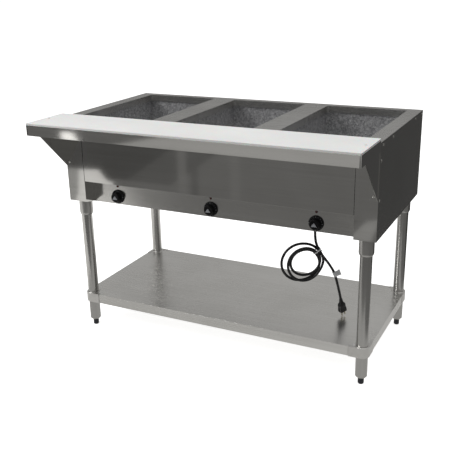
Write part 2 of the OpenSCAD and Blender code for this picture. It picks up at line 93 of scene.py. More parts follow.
class Surface:
    """A Principled material, and the node pieces that its colour, roughness and bump are made from."""

    def __init__(self, name, **constants):
        self.material = bpy.data.materials.new(name)
        self.material.use_nodes = True
        self.tree = self.material.node_tree
        self.tree.nodes.clear()
        self.shader = self.tree.nodes.new("ShaderNodeBsdfPrincipled")
        output = self.tree.nodes.new("ShaderNodeOutputMaterial")
        self.tree.links.new(self.shader.outputs[0], output.inputs[0])
        self.place = self.tree.nodes.new("ShaderNodeTexCoord").outputs["Object"]
        for key, value in constants.items():
            self.shader.inputs[key.replace("_", " ")].default_value = value

    def node(self, kind, links=None, values=None, **settings):
        made = self.tree.nodes.new(kind)
        for key, value in settings.items():
            setattr(made, key, value)
        for key, value in (values or {}).items():
            made.inputs[key].default_value = value
        for key, source in (links or {}).items():
            self.tree.links.new(source, made.inputs[key])
        return made

    def stretched(self, scale):
        return self.node("ShaderNodeMapping", {"Vector": self.place}, {"Scale": scale}).outputs[0]

    def noise(self, scale, detail=2.0, rough=0.5, warp=0.0):
        made = self.node("ShaderNodeTexNoise", {"Vector": self.stretched(scale)},
                         {"Scale": 1.0, "Detail": detail, "Roughness": rough, "Distortion": warp})
        return made.outputs["Fac"]

    def cells(self, scale, random=1.0, bend=None):
        where = self.stretched(scale)
        if bend:
            off = self.node("ShaderNodeTexNoise", {"Vector": where}, {"Scale": 1.6, "Detail": 3.0})
            part = self.node("ShaderNodeVectorMath", {0: off.outputs["Color"]},
                             {1: (bend, bend, bend)}, operation="MULTIPLY")
            where = self.node("ShaderNodeVectorMath", {0: where, 1: part.outputs[0]},
                              operation="ADD").outputs[0]
        return self.node("ShaderNodeTexVoronoi", {"Vector": where}, {"Scale": 1.0, "Randomness": random})

    def spread(self, fac, low, high, start=0.0, end=1.0):
        return self.node("ShaderNodeMapRange", {"Value": fac}, {
            "From Min": start, "From Max": end, "To Min": low, "To Max": high}).outputs["Result"]

    def add(self, a, b, share=1.0):
        made = self.node("ShaderNodeMath", {0: b, 2: a}, {1: share}, operation="MULTIPLY_ADD")
        return made.outputs[0]

    def shades(self, fac, *stops):
        ramp = self.node("ShaderNodeValToRGB", {"Fac": fac})
        line = ramp.color_ramp.elements
        while len(line) < len(stops):
            line.new(0.5)
        for element, (at, tone) in zip(line, stops):
            element.position = at
            element.color = (*tone, 1.0)
        return ramp.outputs["Color"]

    def colour(self, source):
        self.tree.links.new(source, self.shader.inputs["Base Color"])

    def roughness(self, source):
        self.tree.links.new(source, self.shader.inputs["Roughness"])

    def bump(self, height, strength, distance):
        made = self.node("ShaderNodeBump", {"Height": height},
                         {"Strength": strength, "Distance": distance})
        self.tree.links.new(made.outputs[0], self.shader.inputs["Normal"])


def along(axis, length, width):
    """Noise scale for streaks of that length and width, in metres, along an axis."""
    return tuple(1 / length if i == axis else 1 / width for i in range(3))


def stainless(name, grain, tone=0.56, rough=(0.20, 0.32), bump=0.10):
    """Cold-rolled stainless sheet: fine rolling grain, wider streaks, and a cloudy sheen."""
    made = Surface(name, Metallic=1.0)
    cloud = made.noise((3.1, 3.1, 3.1), 3.0, 0.55, 0.4)
    band = made.noise(along(grain, 0.60, 0.012), 3.0, 0.6)
    fine = made.noise(along(grain, 0.05, 0.0007), 2.0, 0.6)
    mixed = made.add(made.add(made.spread(cloud, 0.0, 0.5), band, 0.3), fine, 0.2)
    low, high = tone * 0.88, tone * 1.10
    made.colour(made.shades(mixed, (0.30, (low, low * 0.985, low * 0.95)),
                            (0.70, (high, high * 0.99, high * 0.965))))
    wear = made.add(made.spread(cloud, 0.15, 0.55), fine, 0.35)
    made.roughness(made.spread(wear, rough[0], rough[1], 0.25, 0.75))
    made.bump(fine, bump, 0.0002)
    return made.material


def galvanised(name, cell, tone=0.42):
    """Hot-dipped zinc: angular spangles, each with its own grey and its own gloss."""
    made = Surface(name, Metallic=0.85)
    spangle = made.cells((1 / cell, 1 / cell, 1 / cell), 1.0, 0.55)
    small = made.cells((2.7 / cell, 2.7 / cell, 2.7 / cell), 1.0, 0.4)
    split = made.node("ShaderNodeSeparateColor", {"Color": spangle.outputs["Color"]})
    split_small = made.node("ShaderNodeSeparateColor", {"Color": small.outputs["Color"]})
    mixed = made.add(made.spread(split.outputs[0], 0.0, 0.62), split_small.outputs[1], 0.38)
    made.colour(made.shades(mixed, (0.12, (tone * 0.62,) * 2 + (tone * 0.64,)),
                            (0.50, (tone,) * 2 + (tone * 1.02,)),
                            (0.90, (tone * 1.45,) * 2 + (tone * 1.46,))))
    made.roughness(made.spread(split.outputs[1], 0.30, 0.55))
    made.bump(made.add(mixed, made.noise((900, 900, 900), 2.0), 0.2), 0.25, 0.0006)
    return made.material


def polyethylene():
    """Cutting-board plastic: a waxy off-white with a fine pebbled face and faint knife marks."""
    made = Surface("white_board", Subsurface_Weight=0.12, Subsurface_Scale=0.004, IOR=1.5)
    cloud = made.noise((6, 6, 6), 3.0)
    pebble = made.noise((850, 850, 850), 2.0, 0.6)
    cuts = made.noise(along(1, 0.09, 0.0012), 1.0, 0.4)
    made.colour(made.shades(made.add(made.spread(cloud, 0.0, 0.7), pebble, 0.3),
                            (0.3, (0.80, 0.805, 0.80)), (0.7, (0.86, 0.865, 0.86))))
    made.roughness(made.spread(made.add(cloud, pebble, 0.5), 0.36, 0.52, 0.4, 1.1))
    made.bump(made.add(made.spread(pebble, 0.0, 0.6), made.spread(cuts, 0.0, 1.0, 0.66, 0.74), -0.5),
              0.22, 0.0003)
    return made.material


def moulded(name, tone, rough=(0.25, 0.40), grain=1400, bump=0.12, coat=0.0, lift=1.5, shine=0.5):
    """Moulded plastic or rubber with a faint texture from its tool."""
    made = Surface(name, IOR=1.5, Specular_IOR_Level=shine, Coat_Weight=coat, Coat_Roughness=0.12)
    cloud = made.noise((38, 38, 38), 3.0, 0.6)
    fine = made.noise((grain, grain, grain), 2.0, 0.6)
    made.colour(made.shades(cloud, (0.25, tone), (0.75, tuple(c * lift for c in tone))))
    made.roughness(made.spread(made.add(cloud, fine, 0.4), rough[0], rough[1], 0.4, 1.0))
    made.bump(fine, bump, 0.0002)
    return made.material


def cast_metal(name, tone, rough=(0.28, 0.45), grain=320, metallic=1.0, bump=0.35):
    """A cast, plated or blasted metal with a grainy skin."""
    made = Surface(name, Metallic=metallic)
    cloud = made.noise((22, 22, 22), 3.0, 0.6)
    skin = made.noise((grain, grain, grain), 3.0, 0.65)
    low, high = tuple(c * 0.85 for c in tone), tuple(c * 1.12 for c in tone)
    made.colour(made.shades(made.add(made.spread(cloud, 0, 0.6), skin, 0.4), (0.3, low), (0.7, high)))
    made.roughness(made.spread(made.add(cloud, skin, 0.5), rough[0], rough[1], 0.45, 1.05))
    made.bump(skin, bump, 0.0004)
    return made.material


def fibrous(name, tone, stretch, rough=0.85, bump=0.5, lift=1.25):
    """Paper, wool or woven sleeve: matted fibres of slightly different shades."""
    made = Surface(name, Roughness=rough, Sheen_Weight=0.2)
    mat = made.noise(stretch, 4.0, 0.7, 0.6)
    cloud = made.noise((60, 60, 60), 3.0)
    made.colour(made.shades(made.add(made.spread(mat, 0, 0.6), cloud, 0.4),
                            (0.3, tone), (0.7, tuple(min(1.0, c * lift) for c in tone))))
    made.bump(mat, bump, 0.0004)
    return made.material


def lens_plastic():
    made = Surface("pilot_lens", IOR=1.49, Roughness=0.12, Coat_Weight=0.6, Coat_Roughness=0.05)
    cloud = made.noise((260, 260, 260), 2.0)
    made.colour(made.shades(cloud, (0.3, (0.055, 0.004, 0.004)), (0.7, (0.115, 0.010, 0.008))))
    made.bump(made.noise((700, 700, 700), 1.0), 0.08, 0.0002)
    return made.material


FINISH = {
    "stainless_panel": stainless("stainless_panel", 0, 0.54, (0.04, 0.075), 0.004),
    "stainless_satin": stainless("stainless_satin", 0, 0.61, (0.15, 0.23), 0.01),
    "stainless_end": stainless("stainless_end", 1, 0.45, (0.17, 0.26), 0.02),
    "stainless_top": stainless("stainless_top", 0, 0.61, (0.22, 0.32)),
    "stainless_shelf": stainless("stainless_shelf", 0, 0.73, (0.22, 0.32)),
    "galvanised_pan": galvanised("galvanised_pan", 0.018, 0.44),
    "stainless_tube": stainless("stainless_tube", 2, 0.49, (0.14, 0.24)),
    "stainless_socket": stainless("stainless_socket", 2, 0.52, (0.26, 0.38)),
    "screw_steel": cast_metal("screw_steel", (0.66, 0.65, 0.62), (0.18, 0.32), 900, 1.0, 0.10),
    "white_board": polyethylene(),
    "galvanised_liner": galvanised("galvanised_liner", 0.0055, 0.50),
    "element_sheath": cast_metal("element_sheath", (0.16, 0.15, 0.14), (0.45, 0.65), 700),
    "insulation_wool": fibrous("insulation_wool", (0.62, 0.52, 0.30), (120, 500, 500), 0.95, 0.9),
    "switch_body": moulded("switch_body", (0.05, 0.045, 0.04), (0.45, 0.60)),
    "shaft_steel": cast_metal("shaft_steel", (0.60, 0.58, 0.52), (0.2, 0.3), 900, 1.0, 0.08),
    "knob_plastic": moulded("knob_plastic", (0.003, 0.003, 0.0035), (0.30, 0.42), 1500, 0.08, shine=0.2),
    "knob_mark": moulded("knob_mark", (0.30, 0.31, 0.33), (0.40, 0.55), 1500, 0.08, 0.0, 1.2),
    "pilot_lens": lens_plastic(),
    "box_steel": galvanised("box_steel", 0.012, 0.45),
    "wire_sleeve": fibrous("wire_sleeve", (0.55, 0.20, 0.04), (900, 900, 900), 0.75, 0.8),
    "foot_plastic": moulded("foot_plastic", (0.008, 0.009, 0.014), (0.30, 0.45), 900, 0.2),
    "insert_metal": cast_metal("insert_metal", (0.55, 0.54, 0.51), (0.25, 0.4), 800, 1.0, 0.15),
    "clamp_cast": cast_metal("clamp_cast", (0.72, 0.71, 0.69), (0.26, 0.42), 340),
    "gland_plastic": moulded("gland_plastic", (0.010, 0.010, 0.011), (0.35, 0.5)),
    "cord_jacket": moulded("cord_jacket", (0.0045, 0.0045, 0.005), (0.38, 0.55), 700, 0.25),
    "plug_plastic": moulded("plug_plastic", (0.006, 0.006, 0.0065), (0.32, 0.50), 800, 0.25),
    "blade_brass": cast_metal("blade_brass", (0.62, 0.58, 0.46), (0.16, 0.28), 900, 1.0, 0.06),
    "tag_paper": fibrous("tag_paper", (0.62, 0.63, 0.64), (500, 500, 200), 0.8, 0.35, 1.12),
    "tie_plastic": moulded("tie_plastic", (0.62, 0.62, 0.62), (0.45, 0.6), 900, 0.2, 0.0, 1.2),
}


# ---- Carried-over CAD nodes: finishes and rolled edges ----

# Nodes of each finish, and the width of the bevel on their edges in metres
CARRIED = {
    "stainless_top": (["table_top"], 0.0007),
    "stainless_panel": (["front_apron", "front_corner_left", "front_corner_right", "board_shelf",
                         "board_bracket_left", "board_bracket_right"], 0.0006),
    "stainless_satin": (["control_panel", "rear_panel"], 0.0006),
    "stainless_end": (["end_panel_left", "end_panel_right"], 0.0006),
    "stainless_shelf": (["undershelf"], 0.0006),
    "galvanised_pan": (["bottom_pan"], 0.0004),
    "white_board": (["cutting_board"], 0.0012),
    "galvanised_liner": (["well_liner_left", "well_liner_middle", "well_liner_right"], 0.0004),
    "element_sheath": (["heating_element_left", "heating_element_middle",
                        "heating_element_right"], 0.0),
    "insulation_wool": (["element_insulation"], 0.002),
    "box_steel": (["element_trays", "terminal_box"], 0.0004),
    "switch_body": (["control_switch_left", "control_switch_middle",
                     "control_switch_right"], 0.0006),
    "shaft_steel": (["switch_shaft_left", "switch_shaft_middle", "switch_shaft_right"], 0.0003),
    "pilot_lens": (["pilot_light_left", "pilot_light_middle", "pilot_light_right"], 0.0003),
    "wire_sleeve": (["wire_harness"], 0.0),
    "stainless_socket": (["leg_sockets"], 0.0008),
    "stainless_tube": (["leg_front_left", "leg_front_right", "leg_rear_left",
                        "leg_rear_right"], 0.0003),
    "foot_plastic": (["foot_front_left", "foot_front_right", "foot_rear_left",
                      "foot_rear_right"], 0.0004),
    "insert_metal": (["leg_inserts"], 0.0004),
    "clamp_cast": (["leg_clamps"], 0.0008),
    "screw_steel": (["clamp_screws"], 0.0003),
}


def roll_edges(piece, width):
    """Joins a mesh's split corners, merges the triangles of each flat face and rounds the edges."""
    weld = piece.modifiers.new("weld", "WELD")
    weld.merge_threshold = 0.00001
    if width:
        flat = piece.modifiers.new("flat_faces", "DECIMATE")
        flat.decimate_type = "DISSOLVE"
        flat.angle_limit = math.radians(0.2)
        bevel = piece.modifiers.new("bevel", "BEVEL")
        bevel.width = width
        bevel.segments = 2
        bevel.limit_method = "ANGLE"
        bevel.angle_limit = math.radians(35)
    piece.modifiers.new("normals", "WEIGHTED_NORMAL").weight = 60


for finish, (names, width) in CARRIED.items():
    for name in names:
        piece = nodes[name]
        piece.data.materials.clear()
        piece.data.materials.append(FINISH[finish])
        roll_edges(piece, width)


# ---- New pieces ----

class Shape:
    """Collects parts of one piece, each with its own place and material, and makes the mesh."""

    def __init__(self):
        self.points, self.faces, self.finish = [], [], []

    def add(self, points, faces, place=Matrix(), finish=0):
        start = len(self.points)
        self.points += [place @ Vector(p) for p in points]
        self.faces += [[start + i for i in face] for face in faces]
        self.finish += [finish] * len(faces)

    def loft(self, rings, place=Matrix(), finish=0, caps=(True, True)):
        """Skins closed rings of equal length, in order along the local z axis."""
        count = len(rings[0])
        points = [p for ring in rings for p in ring]
        faces = [[i * count + k, i * count + (k + 1) % count,
                  (i + 1) * count + (k + 1) % count, (i + 1) * count + k]
                 for i in range(len(rings) - 1) for k in range(count)]
        if caps[0]:
            faces.append(list(range(count))[::-1])
        if caps[1]:
            faces.append(list(range(len(points) - count, len(points))))
        self.add(points, faces, place, finish)

    def lathe(self, profile, place=Matrix(), finish=0, steps=48, caps=(True, True)):
        self.loft([ring(r, r, z, 2, steps) for r, z in profile], place, finish, caps)

    def plate(self, outline, holes, low, high, place=Matrix(), finish=0):
        """A flat plate from a closed outline with round holes, between two heights."""
        flat = bmesh.new()
        for loop in [outline, *holes]:
            around = [flat.verts.new((x, y, low)) for x, y in loop]
            for a, b in zip(around, around[1:] + around[:1]):
                flat.edges.new((a, b))
        bmesh.ops.triangle_fill(flat, edges=flat.edges, use_beauty=True)
        made = bmesh.ops.extrude_face_region(flat, geom=flat.faces[:])
        for v in made["geom"]:
            if isinstance(v, bmesh.types.BMVert):
                v.co.z = high
        bmesh.ops.recalc_face_normals(flat, faces=flat.faces)
        flat.verts.index_update()
        self.add([v.co.copy() for v in flat.verts],
                 [[v.index for v in f.verts] for f in flat.faces], place, finish)
        flat.free()

    def build(self, name, finishes, body, slot, replaced=(), bevel=0.0):
        mesh = bpy.data.meshes.new(name)
        mesh.from_pydata([tuple(p) for p in self.points], [], self.faces)
        for finish in finishes:
            mesh.materials.append(FINISH[finish])
        mesh.polygons.foreach_set("material_index", self.finish)
        mesh.update()
        tidy = bmesh.new()
        tidy.from_mesh(mesh)
        bmesh.ops.recalc_face_normals(tidy, faces=tidy.faces)
        tidy.to_mesh(mesh)
        tidy.free()
        mesh.shade_smooth()
        piece = bpy.data.objects.new(name, mesh)
        scene.collection.objects.link(piece)
        roll_edges(piece, bevel)
        return settle(piece, body, replaced)


def settle(piece, body, replaced=()):
    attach(piece, body)
    if replaced:
        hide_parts(*replaced)
    return piece


def ring(half_w, half_d, z, power=2.0, steps=48, shift=(0.0, 0.0)):
    """A closed ring: round at power 2, and a rounded rectangle at 3 or more."""
    made = []
    for k in range(steps):
        c, s = math.cos(2 * math.pi * k / steps), math.sin(2 * math.pi * k / steps)
        made.append((shift[0] + half_w * math.copysign(abs(c) ** (2 / power), c),
                     shift[1] + half_d * math.copysign(abs(s) ** (2 / power), s), z))
    return made


def placed(at, z_axis, x_axis=(1, 0, 0)):
    """A frame at a point whose z axis lies along z_axis, with x as near x_axis as it can be."""
    z = Vector(z_axis).normalized()
    x = Vector(x_axis)
    x = (x - z * x.dot(z)).normalized()
    y = z.cross(x)
    made = Matrix((x, y, z)).transposed().to_4x4()
    made.translation = Vector(at)
    return made


# Cord

CORD_D = 0.0092
CORD_EXIT = (0.346, -0.048, 0.508)
COIL_CENTRE = Vector((0.314, -0.088, 0.389))
COIL_U = Vector((0.8, 0.6, 0.0))
COIL_N = Vector((0.6, -0.8, 0.0))
COIL_W = Vector((0.0, 0.0, 1.0))
TIE_TURN = math.radians(36)
LEAD = [(346, -48, 508), (346, -48, 498), (346.5, -48, 485), (348, -48.5, 469),
        (351.6, -49.9, 454), (356.8, -51.6, 443), (362.3, -51.2, 433.5), (368, -50.6, 424)]
TAIL = [(354.2, -45.3, 431), (359.6, -41.3, 422), (364.9, -37.6, 413.5), (371.5, -33.4, 402.5),
        (380, -28, 388.5), (387, -21, 375), (394, -14, 360), (400.5, -7.5, 345),
        (406, 0, 325), (410.5, 6, 304), (415, 13, 277), (418, 20, 253),
        (420.5, 25.5, 233), (422, 29, 220)]
# Each turn's centre in the coil's plane, its two radii, how far it lies towards the viewer, and over
# how many degrees its radius and depth ease in from the tie and ease out to it
TURNS = [((7.3, -4.6), (59.8, 60.3), 10.0, (75, 38, 60)),
         ((12.0, -0.6), (53.0, 47.4), 0.0, (50, 45, 55)),
         ((-0.7, -2.2), (69.8, 68.3), -10.4, (60, 45, 55))]
# Radius and depth of the strand where it passes under the tie, before the first turn and after each
UNDER_TIE = [(76.0, 0.0), (62.0, 5.4), (57.0, -4.2), (71.0, -10.4)]
TURN_STEPS = 24


def reach(turn, angle):
    """Distance from the coil's centre to a turn's ellipse, in a direction."""
    (cu, cw), (ru, rw) = turn[:2]
    c, s = math.cos(angle), math.sin(angle)
    a = (c / ru) ** 2 + (s / rw) ** 2
    b = -2 * (c * cu / ru ** 2 + s * cw / rw ** 2)
    k = (cu / ru) ** 2 + (cw / rw) ** 2 - 1
    return (-b + math.sqrt(b * b - 4 * a * k)) / (2 * a)


def fade(turned, degrees):
    x = max(0.0, 1 - turned / math.radians(degrees))
    return x * x * (3 - 2 * x)


def coil_points():
    made = []
    for i, turn in enumerate(TURNS):
        first = 1 if i else 2
        last = TURN_STEPS if i < len(TURNS) - 1 else TURN_STEPS - 1
        for k in range(first, last + 1):
            turned = 2 * math.pi * k / TURN_STEPS
            angle = TIE_TURN - turned
            near_r, near_n = fade(turned, turn[3][0]), fade(turned, turn[3][1])
            far = fade(2 * math.pi - turned, turn[3][2])
            here = reach(turn, TIE_TURN)
            r = reach(turn, angle)
            r += near_r * (UNDER_TIE[i][0] - here) + far * (UNDER_TIE[i + 1][0] - here)
            n = turn[2] * (1 - near_n - far) + near_n * UNDER_TIE[i][1] + far * UNDER_TIE[i + 1][1]
            made.append(COIL_CENTRE + (COIL_U * r * math.cos(angle) + COIL_W * r * math.sin(angle)
                                       + COIL_N * n) / 1000)
    return made


def cord():
    route = [Vector(p) / 1000 for p in LEAD] + coil_points() + [Vector(p) / 1000 for p in TAIL]
    data = bpy.data.curves.new("mains_cord", "CURVE")
    data.dimensions = "3D"
    data.bevel_depth = CORD_D / 2
    data.bevel_resolution = 6
    data.resolution_u = 6
    data.use_fill_caps = True
    line = data.splines.new("BEZIER")
    line.bezier_points.add(len(route) - 1)
    for point, at in zip(line.bezier_points, route):
        point.co = at
        point.handle_left_type = point.handle_right_type = "AUTO"
    data.materials.append(FINISH["cord_jacket"])
    made = bpy.data.objects.new("mains_cord", data)
    scene.collection.objects.link(made)
    settle(made, "table", ["cord_lead", "cord_coil", "cord_tail"])
    return made


def plug():
    """A moulded plug: ribbed neck, waisted body with finger ridges, two blades and a round pin."""
    place = placed(Vector(TAIL[-1]) / 1000, (-5, -13, 54), COIL_U)
    place = place @ Matrix.Rotation(math.radians(20), 4, "Z")
    shape = Shape()
    rings = [ring(0.0050, 0.0050, 0.0, 2), ring(0.0058, 0.0058, -0.0004, 2)]
    for k in range(4):
        z = -0.0012 - 0.0036 * k
        r = 0.0060 + 0.0005 * k
        rings += [ring(r, r, z, 2), ring(r, r, z - 0.0018, 2),
                  ring(r - 0.0012, r - 0.0012, z - 0.0023, 2),
                  ring(r - 0.0012, r - 0.0012, z - 0.0032, 2)]
    for z, w, d, power in [(-0.0158, 0.0083, 0.0081, 2.1), (-0.0190, 0.0104, 0.0096, 2.3),
                           (-0.0222, 0.0128, 0.0106, 2.6), (-0.0262, 0.0139, 0.0108, 3.0),
                           (-0.0300, 0.0136, 0.0104, 3.2), (-0.0308, 0.0129, 0.0097, 3.2),
                           (-0.0322, 0.0129, 0.0097, 3.2), (-0.0330, 0.0136, 0.0104, 3.4),
                           (-0.0348, 0.0136, 0.0104, 3.4), (-0.0356, 0.0129, 0.0097, 3.4),
                           (-0.0370, 0.0129, 0.0097, 3.4), (-0.0378, 0.0138, 0.0106, 3.6),
                           (-0.0430, 0.0143, 0.0112, 4.0), (-0.0445, 0.0145, 0.0115, 4.2),
                           (-0.0528, 0.0145, 0.0115, 4.2), (-0.0538, 0.0138, 0.0108, 4.0),
                           (-0.0540, 0.0125, 0.0096, 3.8)]:
        rings.append(ring(w, d, z, power))
    shape.loft(rings, place)
    face, tip, blade_gap, hole_r = -0.0535, -0.072, 0.0127, 0.0015
    for side in (-1, 1):
        outline = [(-0.0052, face), (0.0012, face), (0.0012, tip + 0.0015), (-0.0003, tip),
                   (-0.0037, tip), (-0.0052, tip + 0.0015)]
        hole = [(-0.002 + hole_r * math.cos(a), tip + 0.0045 + hole_r * math.sin(a))
                for a in [math.pi * k / 8 for k in range(16)]]
        turn = Matrix(((0, 0, 1, side * blade_gap / 2), (1, 0, 0, 0), (0, 1, 0, 0), (0, 0, 0, 1)))
        shape.plate(outline, [hole], -0.0008, 0.0008, place @ turn, 1)
    pin = [(0.0024, face), (0.0024, tip + 0.0022), (0.0021, tip + 0.0010), (0.0013, tip + 0.0003),
           (0.0004, tip)]
    shape.lathe(pin, place @ Matrix.Translation((0, 0.0056, 0)), 1, 24)
    return shape.build("mains_plug", ["plug_plastic", "blade_brass"], "table", "plug_plastic",
                       ["power_plug"], 0.0002)


def twist_tie():
    """A flat tie wrapped round the bundle, with its two ends twisted together."""
    radial = (COIL_U * math.cos(TIE_TURN) + COIL_W * math.sin(TIE_TURN)).normalized()
    middle = COIL_CENTRE + radial * 0.0665 + COIL_N * -0.0025
    tangent = radial.cross(COIL_N).normalized()
    place = placed(middle, tangent, radial)
    if (place.to_3x3() @ Vector((0, 1, 0))).dot(COIL_N) < 0:
        place = placed(middle, -tangent, radial)
    shape = Shape()
    outer, inner = (0.0155, 0.0136), (0.0149, 0.0130)
    rings = []
    for z, inset in [(-0.0022, 0.0002), (-0.0018, 0.0), (0.0018, 0.0), (0.0022, 0.0002)]:
        rings.append(ring(outer[0] - inset, outer[1] - inset, z, 2.6, 40))
    for z in (0.0022, -0.0022):
        rings.append(ring(inner[0], inner[1], z, 2.6, 40))
    rings.append(rings[0])
    shape.loft(rings, place, 0, (False, False))
    start = place @ Vector((0.0095, 0.0116, 0.0))
    out = (place.to_3x3() @ Vector((0.55, 0.80, 0.25))).normalized()
    twist = placed(start, out, radial)
    apart, half_w, half_t, step, spin = 0.0012, 0.0011, 0.0006, 0.0006, 0.55
    for strand in (0, math.pi):
        rings = []
        for k in range(18):
            angle = strand + k * spin
            out_x, out_y = math.cos(angle), math.sin(angle)
            wide = half_w * (1 + 0.09 * max(0, k - 13))
            level = []
            for b in [math.pi * j / 5 for j in range(10)]:
                u, v = wide * math.cos(b), half_t * math.sin(b)
                level.append(Vector((apart * out_x + u * out_x - v * out_y,
                                     apart * out_y + u * out_y + v * out_x, k * step)))
            rings.append(level)
        shape.loft(rings, twist)
    return shape.build("twist_tie", ["tie_plastic"], "table", "tie_plastic", ["cord_tie"])


def paper_tag():
    """A paper flag: one strip folded round the cord, with its two ends stuck together."""
    at = Vector((0.4052, -0.0010, 0.3262))
    line = Vector(TAIL[8]) - Vector(TAIL[7])
    place = placed(at, line, (0.80, 0.42, 0.42))
    wrap_r, half_gap, width, rows = 0.0049, 0.00035, 0.021, 9
    start = math.asin(0.0006 / wrap_r)
    strip = [(0.0232 - 0.0019 * k, half_gap) for k in range(9)]
    for k in range(17):
        angle = start + (2 * math.pi - 2 * start) * k / 16
        strip.append((wrap_r * math.cos(angle), wrap_r * math.sin(angle)))
    strip += [(0.0080 + 0.0018 * k, -half_gap) for k in range(9)]
    shape = Shape()
    points, faces = [], []
    for j in range(rows):
        v = (j / (rows - 1) - 0.5) * width
        for x, y in strip:
            far = max(0.0, x) / 0.024
            curl = 0.0035 * far * far * (v / 0.010) + 0.0016 * math.sin(far * 3.0)
            points.append((x, y + curl, v))
    for j in range(rows - 1):
        for k in range(len(strip) - 1):
            a = j * len(strip) + k
            faces.append([a, a + 1, a + len(strip) + 1, a + len(strip)])
    shape.add(points, faces, place)
    made = shape.build("paper_tag", ["tag_paper"], "table", "tag_paper", ["cord_tag"])
    made.modifiers.clear()
    thick = made.modifiers.new("thickness", "SOLIDIFY")
    thick.thickness = 0.00022
    thick.offset = 0
    return made


def strain_relief():
    """A snap-in bushing: a flange under the pan, latches above it, and a ribbed tapering sleeve."""
    shape = Shape()
    profile = [(0.0047, -0.0300), (0.0052, -0.0300), (0.0056, -0.0294)]
    for k in range(5):
        z = -0.0282 + 0.0038 * k
        r = 0.0058 + 0.0004 * k
        profile += [(r, z), (r + 0.0002, z + 0.0020), (r - 0.0009, z + 0.0024),
                    (r - 0.0008, z + 0.0034)]
    profile += [(0.0076, -0.0085), (0.0076, -0.0030), (0.0102, -0.0030), (0.0110, -0.0023),
                (0.0110, 0.0), (0.0088, 0.0), (0.0088, 0.0015), (0.0097, 0.0019), (0.0093, 0.0045),
                (0.0060, 0.0045)]
    shape.lathe(profile, Matrix.Translation((CORD_EXIT[0], CORD_EXIT[1], BODY_Z)))
    return shape.build("cord_bushing", ["gland_plastic"], "table", "gland_plastic",
                       ["strain_relief"], 0.0002)


mains_plug = plug()
tie = twist_tie()
tag = paper_tag()
bushing = strain_relief()
mains_cord = cord()


# Knobs

def knob(side, x):
    """A skirted control knob: round grip with a raised triangle, and ticks on the skirt."""
    place = placed((x, RECESS_Y - 0.0012, KNOB_Z), (0, -1, 0))
    shape = Shape()
    r = 0.0265
    profile = [(0.0032, 0.0), (r - 0.0010, 0.0), (r - 0.0003, 0.0003), (r, 0.0010),
               (r, 0.0028), (r - 0.0004, 0.0036), (r - 0.0014, 0.0043), (0.0215, 0.0053),
               (0.0196, 0.0056), (0.0188, 0.0060), (0.0182, 0.0070), (0.0178, 0.0110),
               (0.0172, 0.0200), (0.0169, 0.0212), (0.0162, 0.0222), (0.0152, 0.0228),
               (0.0140, 0.0230), (0.0138, 0.0225), (0.0100, 0.0224), (0.0004, 0.0224)]
    shape.lathe(profile, place, 0, 96)
    tick_r = 0.0231
    for k in range(16):
        turn = place @ Matrix.Rotation(k * math.pi / 8, 4, "Z")
        half_w, half_l = (0.0009, 0.0021) if k % 4 == 0 else (0.0004, 0.0014)
        tick = [ring(half_w - inset, half_l - inset, z, 4, 16, (0.0, tick_r))
                for z, inset in ((0.0046, 0.0), (0.0052, 0.0), (0.0053, 0.0002))]
        shape.loft(tick, turn, 1)
    shape.plate([(-0.0105, -0.0065), (0.0105, -0.0065), (0.0, 0.0075)], [], 0.0222, 0.0236, place, 1)
    return shape.build("knob_" + side, ["knob_plastic", "knob_mark"], "knob_" + side,
                       "knob_plastic", ["control_knob_" + side])


for side, x in zip(("left", "middle", "right"), KNOB_XS):
    knob(side, x)


# Screws

def driver_recess(x, y, radius):
    """How deep a cross recess is at a point of a screw head, from 0 to 1."""
    arm, half = radius * 0.58, radius * 0.13
    far = math.hypot(x, y)
    inside = min(abs(x), abs(y)) < half and far < arm
    return (1 - 0.45 * far / arm) if inside else 0.0


def screw(shape, place, head_r, head_h, shank, edge):
    """A screw head with a cross recess, domed above its rim, and its shank."""
    turns, rows, shank_r = 40, 12, 0.0023
    rings = [ring(shank_r, shank_r, z, 2, turns) for z in (-shank, 0)]
    for i in range(rows + 1):
        out = 1 - i / rows
        r = head_r * max(out, 0.02)
        top = edge + (head_h - edge) * (1 - out ** 3)
        level = []
        for k in range(turns):
            a = 2 * math.pi * k / turns
            px, py = r * math.cos(a), r * math.sin(a)
            level.append((px, py, top - head_h * 0.7 * driver_recess(px, py, head_r)))
        if i == 0:
            rings.append([(p[0], p[1], 0.0) for p in level])
        rings.append(level)
    shape.loft(rings, place)


def screws():
    ends, brackets, board = Shape(), Shape(), Shape()
    for side in (-1, 1):
        spots = [(FRONT_Y + step, END_SCREW_Z) for step in END_SCREW_STEPS]
        spots += [(EDGE_SCREW_Y, z) for z in EDGE_SCREW_ZS]
        for i, (y, z) in enumerate(spots):
            tilt = math.radians(37 * i + 20 * side)
            place = placed((side * HALF_L, y, z), (side, 0, 0), (0, math.cos(tilt), math.sin(tilt)))
            screw(ends, place, 0.0045, 0.0018, 0.010, 0.0006)
        for i, z in enumerate(BRACKET_SCREW_ZS):
            tilt = math.radians(25 + 50 * i)
            place = placed((side * BRACKET_SCREW_X, FRONT_Y - SHEET_T, z), (0, -1, 0),
                           (math.cos(tilt), 0, math.sin(tilt)))
            screw(brackets, place, 0.0045, 0.0020, 0.010, 0.0006)
        place = placed((side * BOARD_SCREW_X, BOARD_SCREW_Y, BOARD_TOP - 0.0011),
                       (0, 0, 1), (0.8, 0.6, 0))
        screw(board, place, 0.0049, 0.0007, 0.021, 0.0004)
    ends.build("end_screws", ["screw_steel"], "table", "screw_steel", ["panel_screws"])
    brackets.build("bracket_screw_heads", ["screw_steel"], "table", "screw_steel",
                   ["bracket_screws"])
    board.build("board_screw_heads", ["screw_steel"], "table", "screw_steel", ["board_screws"])


screws()


# ---- Floor, lights and surroundings ----

